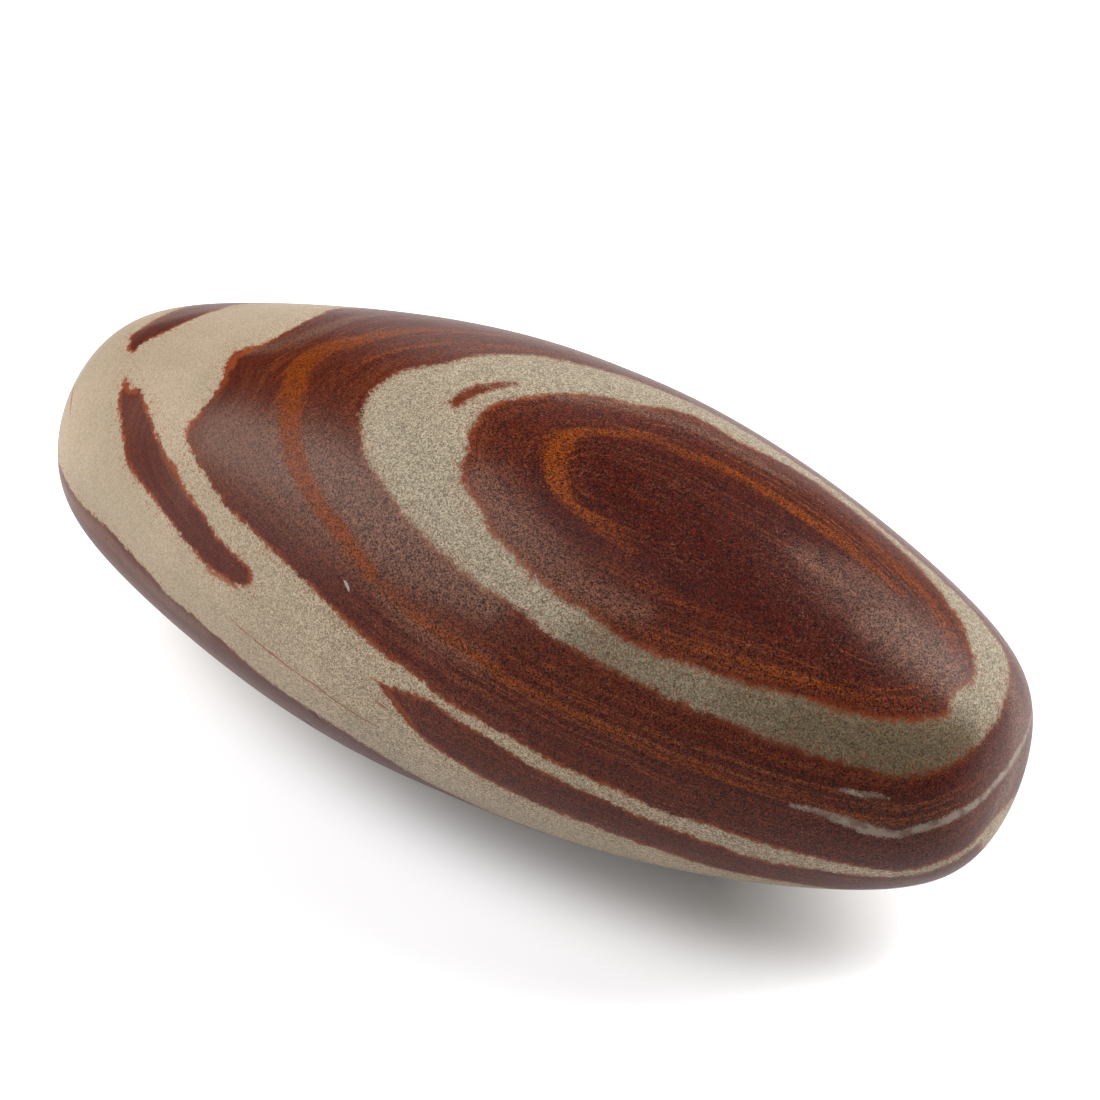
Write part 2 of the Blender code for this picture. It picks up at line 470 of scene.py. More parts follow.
def seen_points(pixels, sizes, studio):
    """Where the sight lines through these pixels first meet the skin, from the heart.

    Each line is walked in millimetre steps until it is inside, and then the last step is halved
    over and over. A line that misses ends on the skin beside its nearest point.
    """
    pixels = np.asarray(pixels, float)
    eye, back, right, up = camera_place(sizes, studio)
    focal = studio.lens / SENSOR * VIEW_SIDE
    across = pixels[:, :1] - VIEW_SIDE / 2
    down = pixels[:, 1:2] - VIEW_SIDE / 2
    sight = unit(across * right - down * up - focal * back)
    middle = studio.distance / MM
    steps = np.linspace(middle - SIGHT_SPAN, middle + SIGHT_SPAN, 2 * SIGHT_SPAN + 1)
    walked = eye + sight[:, None, :] * steps[None, :, None]
    share = share_of_skin(walked.reshape(-1, 3), sizes).reshape(len(pixels), -1)
    met = (share < 1).any(1)
    far = steps[np.where(met, (share < 1).argmax(1), share.argmin(1))]
    near = far - met
    for _ in range(HALVINGS):
        half = (near + far) / 2
        outside = met & (share_of_skin(eye + sight * half[:, None], sizes) > 1)
        near, far = np.where(outside, half, near), np.where(met & ~outside, half, far)
    return skin(unit(eye + sight * far[:, None]), sizes)


def hidden_points(places, sizes):
    """The skin's points at these places, given as millimetres along and degrees round.

    For each turn round the axis, the slant of the direction is halved in on until the skin there
    lies as far along the stone as asked.
    """
    places = np.asarray(places, float)
    side = round_the_axis(0.0, places[:, 1], 1.0)
    low = np.full(len(places), -0.5 * math.pi)
    high = -low
    for _ in range(HALVINGS):
        half = (low + high) / 2
        way = side * np.cos(half)[:, None] + np.array((1.0, 0.0, 0.0)) * np.sin(half)[:, None]
        found = skin(way, sizes)
        short = found[:, 0] < places[:, 0]
        low, high = np.where(short, half, low), np.where(short, high, half)
    return found


def smooth_line(points, closed):
    """Even samples along a smooth curve through the points, with any further columns they have.

    Each span is a Catmull-Rom cubic, and an open curve's end tangents are its end spans.
    """
    if closed:
        ring = np.concatenate((points[-1:], points, points[:2]))
    else:
        first, last = 2 * points[:1] - points[1:2], 2 * points[-1:] - points[-2:-1]
        ring = np.concatenate((first, points, last))
    before, start, end, after = ring[:-3], ring[1:-2], ring[2:-1], ring[3:]
    t = (np.arange(SAMPLES_PER_SPAN) / SAMPLES_PER_SPAN)[None, :, None]
    before, start, end, after = (part[:, None, :] for part in (before, start, end, after))
    curve = 0.5 * (2 * start + (end - before) * t
                   + (2 * before - 5 * start + 4 * end - after) * t**2
                   + (3 * start - before - 3 * end + after) * t**3)
    curve = np.concatenate((curve.reshape(-1, points.shape[1]), ring[-2:-1]))
    gone = np.linalg.norm(np.diff(curve[:, :3], axis=0), axis=1)
    gone = np.concatenate(((0.0,), np.cumsum(gone)))
    count = max(4, round(gone[-1] / LINE_STEP))
    even = np.linspace(0.0, gone[-1], count + 1)
    if closed:
        even = even[:-1]
    return np.stack([np.interp(even, gone, column) for column in curve.T], -1)


def line_on_skin(points, closed, sizes):
    """The smooth line through the points, its samples pushed on to the skin."""
    line = smooth_line(points, closed)
    line[:, :3] = skin(unit(line[:, :3]), sizes)
    return line


def nearest_sample(points, line):
    """The number of the line's sample nearest to each point, a slab of points at a time."""
    nearest = np.empty(len(points), int)
    size = (line**2).sum(1)
    for first in range(0, len(points), SLAB):
        slab = points[first:first + SLAB]
        nearest[first:first + SLAB] = (size - 2 * slab @ line.T).argmin(1)
    return nearest


def from_line(points, line, closed):
    """Each point's distance from the line, its nearest sample, and which side it is on.

    The distance is from the straight stretch through the nearest sample, half a step each way.
    The side is the offset along the heart's direction crossed with the line's own.
    """
    track = line[:, :3]
    if closed:
        ahead, behind = np.roll(track, -1, axis=0), np.roll(track, 1, axis=0)
    else:
        ahead = np.concatenate((track[1:], track[-1:]))
        behind = np.concatenate((track[:1], track[:-1]))
    course = unit(ahead - behind)
    near = nearest_sample(points, track)
    offset = points - track[near]
    along = (offset * course[near]).sum(1)
    offset -= np.clip(along, -LINE_STEP / 2, LINE_STEP / 2)[:, None] * course[near]
    side = (offset * np.cross(unit(track), course)[near]).sum(1)
    return np.linalg.norm(offset, axis=1), near, side


def is_inside(points, line):
    """Whether each point's direction lies inside the closed line's.

    Directions are laid flat by a stereographic projection about the line's middle, and a point is
    inside where a level ray from it crosses the line an odd number of times.
    """
    middle = unit(unit(line).mean(0))
    right = unit(np.cross(middle, ODD_WAY))
    up = np.cross(middle, right)

    def flat(rows):
        rows = unit(rows)
        depth = np.maximum(1 + rows @ middle, TINY)
        return rows @ right / depth, rows @ up / depth

    x, y = flat(points)
    x1, y1 = flat(line)
    x2, y2 = np.roll(x1, -1), np.roll(y1, -1)
    rise = np.where(y2 == y1, TINY, y2 - y1)
    inside = np.empty(len(points), bool)
    for first in range(0, len(points), SLAB):
        px, py = x[first:first + SLAB, None], y[first:first + SLAB, None]
        spans = (y1 > py) != (y2 > py)
        left = px < (x2 - x1) * (py - y1) / rise + x1
        inside[first:first + SLAB] = (spans & left).sum(1) % 2 == 1
    return inside


def depth_inside(points, line):
    """The distance from the closed line, positive inside it and negative outside."""
    away = from_line(points, line, True)[0]
    return np.where(is_inside(points, line), away, -away)


def outline_points(seen, hidden, sizes, studio):
    """The outline's seen points and then its hidden ones, all on the skin."""
    found = []
    if seen:
        found.append(seen_points(seen, sizes, studio))
    if hidden:
        found.append(hidden_points(hidden, sizes))
    return np.concatenate(found)


def stain_and_painted_light(points, arcs, seen, sizes, studio):
    """How strongly each point carries a stain, painted shade or painted sheen: the strongest arc's
    bell curve of distance / width.

    An arc's points carry its half width: in pixels where the points are seen, and otherwise in
    millimetres.
    """
    strength = np.zeros(len(points))
    for power, arc in arcs:
        arc = np.array(arc, float)
        if seen:
            track = seen_points(arc[:, :2], sizes, studio)
            width = arc[:, 2:] * PIXEL_SIZE
        else:
            track = hidden_points(arc[:, :2], sizes)
            width = arc[:, 2:]
        line = line_on_skin(np.hstack((track, width)), False, sizes)
        away, near, _ = from_line(points, line, False)
        width = np.maximum(line[near, 3], LEAST_WIDTH)
        strength = np.maximum(strength, power * np.exp(-((away / width) ** 2)))
    return strength


def thin_line(points, name, arcs, sizes, studio):
    """Each point's signed distance across the nearest of these lines, and the line's half width.

    The sign changes where a line is crossed, so a line finer than the grid stays sharp. Past a
    line's end its half width falls by the distance past it.
    """
    nearest = np.full(len(points), LINE_FAR)
    across = np.full(len(points), LINE_FAR)
    width = np.zeros(len(points))
    for arc in arcs:
        arc = np.array(arc, float)
        track = seen_points(arc[:, :2], sizes, studio)
        line = line_on_skin(np.hstack((track, arc[:, 2:])), False, sizes)
        away, near, side = from_line(points, line, False)
        past = np.sqrt(np.maximum(away**2 - side**2, 0.0))
        closer = away < nearest
        nearest = np.where(closer, away, nearest)
        across = np.where(closer, side, across)
        width = np.where(closer, line[near, 3] - past, width)
    return {name: across, name + "_width": width}


def rock_fields(points, sizes, studio):
    """What each point of the skin is told about the rock it lies in, as named arrays.

    rock_depth is the distance in millimetres from the nearest edge of the dark rock, positive in
    the dark. layer numbers the beds outwards from the eye's core, about one to each 1.5 mm. The
    rim and fray values are those of the outlines, weighed by nearness. The others say how strongly
    a point is stained, how much painted shade and painted sheen it carries, and how far across
    each kind of thin line it lies.
    """
    depth = {}
    for name, seen, hidden, _, _ in OUTLINES:
        line = line_on_skin(outline_points(seen, hidden, sizes, studio), True, sizes)
        depth[name] = depth_inside(points, line)
    ring_of_dark = np.minimum(depth["middle"], -depth["ring"])
    separate = [depth[name] for name in depth if name not in ("middle", "ring")]
    rock_depth = np.maximum.reduce([ring_of_dark, *separate])

    core = line_on_skin(seen_points(EYE_CORE_SEEN, sizes, studio), False, sizes)
    from_core = from_line(points, core, False)[0]
    eye, ring, middle = depth["eye"], depth["ring"], depth["middle"]
    in_eye = EYE_BEDS * from_core / (from_core + np.abs(eye))
    in_ring = EYE_BEDS + RING_BEDS * np.abs(eye) / (np.abs(eye) + np.abs(ring))
    in_middle = (EYE_BEDS + RING_BEDS
                 + MIDDLE_BEDS * np.abs(ring) / (np.abs(ring) + np.abs(middle)))
    beyond = EYE_BEDS + RING_BEDS + MIDDLE_BEDS + np.abs(middle) / BED
    layer = np.select([eye > 0, ring > 0, middle > 0], [in_eye, in_ring, in_middle], beyond)

    rims = np.zeros(len(points))
    frays = np.zeros(len(points))
    total = np.zeros(len(points))
    for name, _, _, rim, fray in OUTLINES:
        weight = (np.abs(depth[name]) + SHARED_REACH) ** -SHARED_FALL
        rims += weight * rim
        frays += weight * fray
        total += weight

    return {
        "rock_depth": rock_depth,
        "layer": layer,
        "rim": rims / total,
        "fray": frays / total,
        "ochre": np.maximum(stain_and_painted_light(points, OCHRE_SEEN, True, sizes, studio),
                            stain_and_painted_light(points, OCHRE_HIDDEN, False, sizes, studio)),
        "rust": stain_and_painted_light(points, RUST_SEEN, True, sizes, studio),
        "painted_shade": stain_and_painted_light(points, PAINTED_SHADE_SEEN, True, sizes, studio),
        "painted_sheen": stain_and_painted_light(points, PAINTED_SHEEN_SEEN, True, sizes, studio),
        "streaky": stain_and_painted_light(points, STREAKY_SEEN, True, sizes, studio),
        **thin_line(points, "thread", RUST_THREADS, sizes, studio),
        **thin_line(points, "pale", PALE_LINES, sizes, studio),
        **thin_line(points, "chip", CHIPS, sizes, studio),
        **thin_line(points, "crack", CRACKS, sizes, studio),
    }


class Recipe:
    """Lays the nodes of one material, with its measures in millimetres on the stone."""

    def __init__(self, name):
        self.material = bpy.data.materials.new(name)
        self.material.use_nodes = True
        self.nodes = self.material.node_tree.nodes
        self.shader = self.nodes["Principled BSDF"]
        coordinates = self.nodes.new("ShaderNodeTexCoord")
        metres = coordinates.outputs["Object"]
        self.place = self.vector("SCALE", metres, scale=1 / MM)

    def link(self, source, socket):
        self.material.node_tree.links.new(source, socket)

    def feed(self, socket, value):
        if isinstance(value, bpy.types.NodeSocket):
            self.link(value, socket)
        else:
            socket.default_value = value

    def vector(self, operation, first, second=None, scale=None):
        node = self.nodes.new("ShaderNodeVectorMath")
        node.operation = operation
        self.feed(node.inputs[0], first)
        if second is not None:
            self.feed(node.inputs[1], second)
        if scale is not None:
            self.feed(node.inputs["Scale"], scale)
        return node.outputs["Vector"]

    def maths(self, operation, *values, clamp=False):
        node = self.nodes.new("ShaderNodeMath")
        node.operation = operation
        node.use_clamp = clamp
        for socket, value in zip(node.inputs, values):
            self.feed(socket, value)
        return node.outputs["Value"]

    def plus(self, first, second):
        return self.maths("ADD", first, second)

    def times(self, first, second):
        return self.maths("MULTIPLY", first, second)

    def field(self, name):
        node = self.nodes.new("ShaderNodeAttribute")
        node.attribute_type = 'GEOMETRY'
        node.attribute_name = name
        return node.outputs["Fac"]

    def noise(self, size, detail=2.0, roughness=0.5, place=None, shift=0.0):
        """Smooth noise from 0 to 1 whose lumps are this many millimetres across."""
        node = self.nodes.new("ShaderNodeTexNoise")
        node.noise_dimensions = '3D'
        spot = self.place if place is None else place
        if shift:
            spot = self.vector("ADD", spot, (shift, shift, shift))
        self.feed(node.inputs["Vector"], spot)
        node.inputs["Scale"].default_value = 1 / size
        node.inputs["Detail"].default_value = detail
        node.inputs["Roughness"].default_value = roughness
        return node.outputs["Fac"]

    def grain(self, size, shift=0.0):
        """One random number from 0 to 1 for each grain, and the distance to its middle."""
        node = self.nodes.new("ShaderNodeTexVoronoi")
        spot = self.vector("ADD", self.place, (shift, shift, shift))
        self.feed(node.inputs["Vector"], spot)
        node.inputs["Scale"].default_value = 1 / size
        split = self.nodes.new("ShaderNodeSeparateColor")
        self.link(node.outputs["Color"], split.inputs["Color"])
        return split.outputs["Red"], node.outputs["Distance"]

    def step(self, value, low, high, to_low=0.0, to_high=1.0):
        """An eased step from one value to another as the input goes from low to high."""
        node = self.nodes.new("ShaderNodeMapRange")
        node.interpolation_type = 'SMOOTHSTEP'
        self.feed(node.inputs["Value"], value)
        if low > high:
            low, high, to_low, to_high = high, low, to_high, to_low
        node.inputs["From Min"].default_value = low
        node.inputs["From Max"].default_value = high
        node.inputs["To Min"].default_value = to_low
        node.inputs["To Max"].default_value = to_high
        return node.outputs["Result"]

    def blend(self, factor, under, over, way='MIX'):
        node = self.nodes.new("ShaderNodeMix")
        node.data_type = 'RGBA'
        node.blend_type = way
        self.feed(node.inputs["Factor"], factor)
        for socket, value in (("A", under), ("B", over)):
            colour_socket = [entry for entry in node.inputs
                             if entry.name == socket and entry.type == 'RGBA'][0]
            self.feed(colour_socket, value)
        return [entry for entry in node.outputs if entry.type == 'RGBA'][0]

    def centred(self, value, swing):
        """A 0 to 1 value turned into one from minus swing to plus swing."""
        return self.maths("MULTIPLY_ADD", value, 2 * swing, -swing)

    def inside_line(self, name, waver, softness):
        """1 inside the named thin line's half width and 0 outside, its edge wavering."""
        across = self.maths("ABSOLUTE", self.field(name))
        past = self.maths("SUBTRACT", across, self.field(name + "_width"))
        return self.step(self.maths("MULTIPLY_ADD", waver, 0.5, past), softness, -softness)

    def grey(self, value):
        node = self.nodes.new("ShaderNodeCombineColor")
        for channel in ("Red", "Green", "Blue"):
            self.link(value, node.inputs[channel])
        return node.outputs["Color"]

    def swing(self, value, reach, middle):
        """A grey that swings round its middle with the value, for multiplying a colour by."""
        swung = self.maths("MULTIPLY_ADD", value, reach, middle)
        return self.grey(self.maths("MAXIMUM", swung, 0.1))

    def shade(self, value, low, high):
        """A grey from low to high, for multiplying a colour by."""
        return self.grey(self.step(value, 0.25, 0.75, low, high))


def opaque(colour):
    return (*colour, 1.0)


class Ground:
    """What the light and the dark rock share: the edge between them, the sand and the beds.

    The dark rock's edge is the rock_depth field pushed about by noise and by each grain's own
    luck. The beds are noise on (layer, a little of the place), so that they run along the layers.
    """

    def __init__(self, mix):
        self.depth = mix.field("rock_depth")
        self.layer = mix.field("layer")
        fray = mix.field("fray")
        self.ragged = mix.centred(mix.noise(RAGGED_SIZE, 3.0, 0.6), RAGGED_REACH)
        self.toothed = mix.centred(mix.noise(TOOTH_SIZE, 2.0, 0.65, shift=9.0), TOOTH_REACH)
        self.luck = mix.grain(GRAIN_SIZE)[0]
        self.sand = mix.noise(SAND_SIZE, 2.0, 0.8, shift=5.0)
        strayed = mix.plus(mix.centred(self.luck, 0.6), mix.centred(self.sand, 1.6))
        edge = mix.plus(mix.plus(self.depth, self.ragged), self.toothed)
        self.grainy_edge = mix.plus(edge, mix.times(strayed, fray))
        softness = mix.maths("MULTIPLY_ADD", fray, 0.12, 0.05)
        self.is_dark = mix.step(mix.maths("DIVIDE", self.grainy_edge, softness), -1.0, 1.0)

        # The sand is coarser away from the slim end, and its grains stand out more there.
        along = mix.nodes.new("ShaderNodeSeparateXYZ")
        mix.link(mix.place, along.inputs["Vector"])
        self.coarse = mix.step(along.outputs["X"], *COARSER_ALONG, 0.25, 1.0)
        grains = mix.plus(mix.centred(self.luck, 1.0), mix.centred(self.sand, 0.5))
        self.grains = mix.times(grains, self.coarse)

        beds = mix.nodes.new("ShaderNodeCombineXYZ")
        mix.feed(beds.inputs["X"], self.layer)
        along_bed = mix.vector("SCALE", mix.place, scale=ALONG_BED)
        bed_place = mix.vector("ADD", beds.outputs["Vector"], along_bed)
        self.fine_beds = mix.noise(FINE_BED, 4.0, 0.6, place=bed_place, shift=3.0)
        self.broad_beds = mix.noise(BROAD_BED, 3.0, 0.55, place=bed_place, shift=17.0)


def light_rock(mix, ground, colours):
    """Greenish sand with beige clouds, greyer in the ring, painted shade along the ring's lower
    front run, and speckled.
    """
    cloud = mix.noise(CLOUD_SIZE, 3.0, 0.55, shift=31.0)
    rock = mix.blend(mix.step(cloud, 0.35, 0.65), opaque(colours.light_rock),
                     opaque(colours.light_rock_warm))
    ring_ends = EYE_BEDS + RING_BEDS
    past_eye = mix.step(ground.layer, EYE_BEDS - 0.2, EYE_BEDS + 0.2)
    before_middle = mix.step(ground.layer, ring_ends + 0.2, ring_ends - 0.2)
    in_ring = mix.times(past_eye, before_middle)
    rock = mix.blend(in_ring, rock, opaque(colours.ring_rock))
    # Painted shade: the ring's lower front run is darkened in the colour.
    painted_shade = mix.plus(mix.field("painted_shade"), mix.centred(cloud, 0.1))
    rock = mix.blend(mix.step(painted_shade, 0.1, 0.95), rock, opaque(colours.painted_shade_rock))
    rock = mix.blend(1.0, rock, mix.shade(ground.fine_beds, 0.96, 1.03), 'MULTIPLY')
    rock = mix.blend(1.0, rock, mix.swing(ground.grains, 0.6, 1.03), 'MULTIPLY')
    dark_speck = mix.step(mix.grain(LIGHT_SPECK_SIZE, 3.0)[0], 0.9, 0.95)
    dark_speck = mix.times(dark_speck, mix.times(ground.coarse, 0.45))
    rock = mix.blend(dark_speck, rock, opaque(DARK_SPECK))
    near_dark = mix.step(ground.depth, *SPECKS_NEAR_DARK, 0.12, 1.0)
    orange_luck = mix.step(mix.grain(ORANGE_SPECK_SIZE, 13.0)[0], 0.84, 0.92)
    orange_speck = mix.times(mix.times(near_dark, orange_luck), 0.75)
    return mix.blend(orange_speck, rock, opaque(colours.rust))


def dark_rock(mix, ground, colours):
    """Purple-brown beds with a deep red core, brown and dark streaks, patches of painted sheen
    and the ochre bands.

    Over those come scuffs, which are thin curled lines in patches, the grains and the pale streak.
    """
    rock = mix.blend(mix.step(ground.broad_beds, 0.35, 0.68), opaque(colours.dark_rock),
                     opaque(colours.dark_rock_warm))
    in_eye = mix.step(ground.layer, EYE_BEDS * 0.85, EYE_BEDS * 0.35)
    rock = mix.blend(mix.times(in_eye, 0.95), rock, opaque(colours.eye_core))
    streaky = mix.step(mix.field("streaky"), 0.1, 0.7, 0.25, 1.0)
    brown = mix.times(mix.step(ground.fine_beds, 0.5, 0.62), 0.68)
    rock = mix.blend(mix.times(brown, streaky), rock, opaque(colours.brown_streak))
    dark_bed = mix.times(mix.step(ground.fine_beds, 0.48, 0.36), 0.45)
    rock = mix.blend(mix.times(dark_bed, streaky), rock, opaque(DARK_BED))

    # Painted sheen: paler patches where soft highlights and grazing reflections fall.
    painted_sheen = mix.plus(mix.field("painted_sheen"), mix.centred(ground.fine_beds, 0.25))
    painted_sheen = mix.times(mix.step(painted_sheen, 0.0, 1.0), 0.85)
    rock = mix.blend(painted_sheen, rock, opaque(colours.painted_sheen_rock))
    ochre = mix.plus(mix.field("ochre"), mix.centred(ground.fine_beds, 0.8))
    ochre = mix.plus(ochre, mix.centred(ground.sand, 0.35))
    ochre = mix.times(mix.step(ochre, 0.15, 0.7), 0.95)
    rock = mix.blend(ochre, rock, opaque(colours.ochre))

    curl = mix.centred(mix.noise(CURL_SIZE, 2.0, 0.6, shift=71.0), 1.0)
    scuffed = mix.step(mix.noise(SCUFFED_PATCH, 2.0, 0.5, shift=77.0), 0.48, 0.62)
    scuff = mix.times(mix.step(mix.maths("ABSOLUTE", curl), 0.035, 0.008), scuffed)
    scuff = mix.times(scuff, ground.coarse)
    rock = mix.blend(mix.times(scuff, 0.3), rock, opaque(SCUFF))
    rock = mix.blend(1.0, rock, mix.swing(ground.grains, 1.1, 1.05), 'MULTIPLY')
    dark_grain = mix.step(mix.grain(DARK_SPECK_SIZE, 21.0)[0], 0.86, 0.94)
    rock = mix.blend(mix.times(dark_grain, 0.6), rock, opaque(DARK_GRAIN))
    pale_grain = mix.step(mix.grain(DARK_SPECK_SIZE, 27.0)[0], 0.88, 0.95)
    pale_grain = mix.times(pale_grain, mix.times(ground.coarse, 0.32))
    rock = mix.blend(pale_grain, rock, opaque(PALE_GRAIN))

    waver = mix.plus(ground.toothed, ground.ragged)
    waver = mix.plus(waver, mix.centred(ground.sand, 1.6))
    waver = mix.plus(waver, mix.centred(ground.luck, 0.5))
    pale = mix.inside_line("pale", waver, 0.22)
    faded = mix.step(mix.noise(FADED_SIZE, 3.0, 0.6, shift=83.0), 0.36, 0.58, 0.4, 0.92)
    return mix.blend(mix.times(pale, faded), rock, opaque(colours.pale_streak))


def rusted(mix, ground, colours, stone):
    """The stone with rust on it: rims along the dark rock's edge, stains and threads."""
    from_edge = mix.maths("ABSOLUTE", mix.maths("SUBTRACT", ground.grainy_edge, 0.15))
    rim = mix.step(from_edge, RIM_REACH, 0.08)
    patchy = mix.step(mix.noise(RIM_PATCH, 2.0, 0.6, shift=41.0), 0.25, 0.6)
    rim = mix.times(mix.times(rim, mix.field("rim")), patchy)
    rust = mix.plus(mix.field("rust"), mix.centred(ground.sand, 0.5))
    rust = mix.times(mix.step(rust, 0.2, 0.8), 0.9)
    thread = mix.inside_line("thread", mix.centred(ground.sand, 0.3), 0.1)
    thread = mix.times(thread, 0.9)
    rusty = mix.maths("MAXIMUM", mix.maths("MAXIMUM", rim, rust), thread, clamp=True)
    return mix.blend(mix.times(rusty, 0.85), stone, opaque(colours.rust))


def relief(mix, ground, crack):
    """The normal of a skin with gritty grains, shallow dimples, a few pits and the cracks."""
    bump = mix.nodes.new("ShaderNodeBump")
    bump.inputs["Strength"].default_value = 1.0
    bump.inputs["Distance"].default_value = MM
    grit = mix.times(ground.grains, GRIT_HEIGHT)
    dimple = mix.centred(mix.noise(DIMPLE_SIZE, 1.0, 0.5, shift=57.0), DIMPLE_HEIGHT)
    pit_luck, from_pit = mix.grain(PIT_SPACING, 61.0)
    pit = mix.step(from_pit, 0.14, 0.05, 0.0, -PIT_DEPTH)
    pit = mix.times(pit, mix.step(pit_luck, 0.7, 0.75))
    height = mix.plus(mix.plus(grit, dimple), pit)
    height = mix.maths("MULTIPLY_ADD", crack, -PIT_DEPTH, height)
    mix.link(height, bump.inputs["Height"])
    return bump.outputs["Normal"]


def banded_finish(colours):
    """Fine sandstone in light and dark beds, with rust, chips and cracks over both."""
    mix = Recipe("banded_stone")
    ground = Ground(mix)
    light, dark = light_rock(mix, ground, colours), dark_rock(mix, ground, colours)
    stone = rusted(mix, ground, colours, mix.blend(ground.is_dark, light, dark))
    chip = mix.inside_line("chip", mix.centred(ground.sand, 0.3), 0.08)
    stone = mix.blend(mix.times(chip, 0.7), stone, opaque(CHIPPED))
    crack = mix.inside_line("crack", mix.centred(ground.sand, 0.1), 0.05)
    stone = mix.blend(mix.times(crack, 0.6), stone, opaque(CRACKED))
    mix.link(stone, mix.shader.inputs["Base Color"])

    polish = mix.step(ground.is_dark, 0.0, 1.0, LIGHT_ROUGHNESS, DARK_ROUGHNESS)
    polish = mix.plus(polish, mix.centred(ground.sand, 0.06))
    mix.link(polish, mix.shader.inputs["Roughness"])
    mix.shader.inputs["Metallic"].default_value = 0.0
    mix.shader.inputs["Specular IOR Level"].default_value = GLOSS
    mix.link(relief(mix, ground, crack), mix.shader.inputs["Normal"])
    return mix.material


def skin_mesh(sizes, studio):
    """The whole skin as one closed mesh with its rock fields.

    The two parameters are the tilt from the slim end and the turn round the axis. A direction is
    (stretch * cos tilt, sin tilt * cos turn, sin tilt * sin turn), brought to length 1, and the
    point is where the skin lies along it. Each end is closed by a fan of triangles, and nothing
    dips under the surface that the stone lies on.
    """
    tilt = np.linspace(math.pi, 0.0, RINGS + 1)[1:-1, None]
    turn = np.arange(POINTS_ROUND)[None, :] * (2 * math.pi / POINTS_ROUND)
    way = np.stack(np.broadcast_arrays(GRID_STRETCH * np.cos(tilt), np.sin(tilt) * np.cos(turn),
                                       np.sin(tilt) * np.sin(turn)), -1).reshape(-1, 3)
    ends = np.array(((-1.0, 0.0, 0.0), (1.0, 0.0, 0.0)))
    points = skin(unit(np.concatenate((way, ends))), sizes)

    ring = np.arange(RINGS - 2)[:, None] * POINTS_ROUND
    spot = np.arange(POINTS_ROUND)[None, :]
    after = (spot + 1) % POINTS_ROUND
    quads = np.stack((ring + spot, ring + POINTS_ROUND + spot, ring + POINTS_ROUND + after,
                      ring + after), -1).reshape(-1, 4)
    last_ring = (RINGS - 2) * POINTS_ROUND
    slim_end, full_end = len(points) - 2, len(points) - 1
    spot, after = spot[0], after[0]
    slim_fan = np.stack((np.full(POINTS_ROUND, slim_end), spot, after), -1)
    full_fan = np.stack((np.full(POINTS_ROUND, full_end), last_ring + after, last_ring + spot), -1)

    fields = rock_fields(points, sizes, studio)
    inside_chip = fields["chip_width"] - np.abs(fields["chip"])
    dent = np.clip(inside_chip / CHIP_SLOPE + 1, 0.0, 1.0)
    points = points - unit(points) * (CHIP_DEPTH * dent)[:, None]
    placed = points + heart(sizes)
    placed[:, 2] = np.maximum(placed[:, 2], 0.0)
    mesh = bpy.data.meshes.new("stone_skin")
    mesh.from_pydata(placed * MM, [], quads.tolist() + slim_fan.tolist() + full_fan.tolist())
    for name, values in fields.items():
        attribute = mesh.attributes.new(name, 'FLOAT', 'POINT')
        attribute.data.foreach_set("value", values.astype(np.float32))
    mesh.shade_smooth()
    return mesh


def show(name, mesh):
    """The mesh as an object of the scene, at the origin."""
    piece = bpy.data.objects.new(name, mesh)
    bpy.context.scene.collection.objects.link(piece)
    return piece


def floor_finish(studio):
    """Matt white board. Where the lamps no longer reach, it glows faintly, to stay white.

    It isn't sampled as a lamp, because its glow is too far off to light the stone.
    """
    board = bpy.data.materials.new("white_board")
    board.use_nodes = True
    board.cycles.emission_sampling = 'NONE'
    shader = board.node_tree.nodes["Principled BSDF"]
    shader.inputs["Base Color"].default_value = opaque(FLOOR_COLOUR)
    shader.inputs["Roughness"].default_value = FLOOR_ROUGHNESS
    shader.inputs["Specular IOR Level"].default_value = FLOOR_GLOSS
    shader.inputs["Emission Color"].default_value = opaque(WHITE)
    nodes, links = board.node_tree.nodes, board.node_tree.links
    place = nodes.new("ShaderNodeTexCoord")
    reach = nodes.new("ShaderNodeVectorMath")
    reach.operation = 'LENGTH'
    links.new(place.outputs["Object"], reach.inputs[0])
    far = nodes.new("ShaderNodeMapRange")
    far.interpolation_type = 'SMOOTHSTEP'
    far.inputs["From Min"].default_value = LIT_FLOOR
    far.inputs["From Max"].default_value = FAR_FLOOR
    far.inputs["To Max"].default_value = studio.floor_glow
    links.new(reach.outputs["Value"], far.inputs["Value"])
    links.new(far.outputs["Result"], shader.inputs["Emission Strength"])
    return board


def floor_mesh(studio):
    """A level disc, whose rim is at (radius * cos turn, radius * sin turn, minus the drop)."""
    turn = np.linspace(0.0, 2 * math.pi, FLOOR_CORNERS, endpoint=False)
    rim = np.stack((np.cos(turn), np.sin(turn), np.zeros(FLOOR_CORNERS)), -1) * studio.floor_radius
    rim[:, 2] = -FLOOR_DROP
    mesh = bpy.data.meshes.new("floor")
    mesh.from_pydata(rim, [], [list(range(FLOOR_CORNERS))])
    return mesh


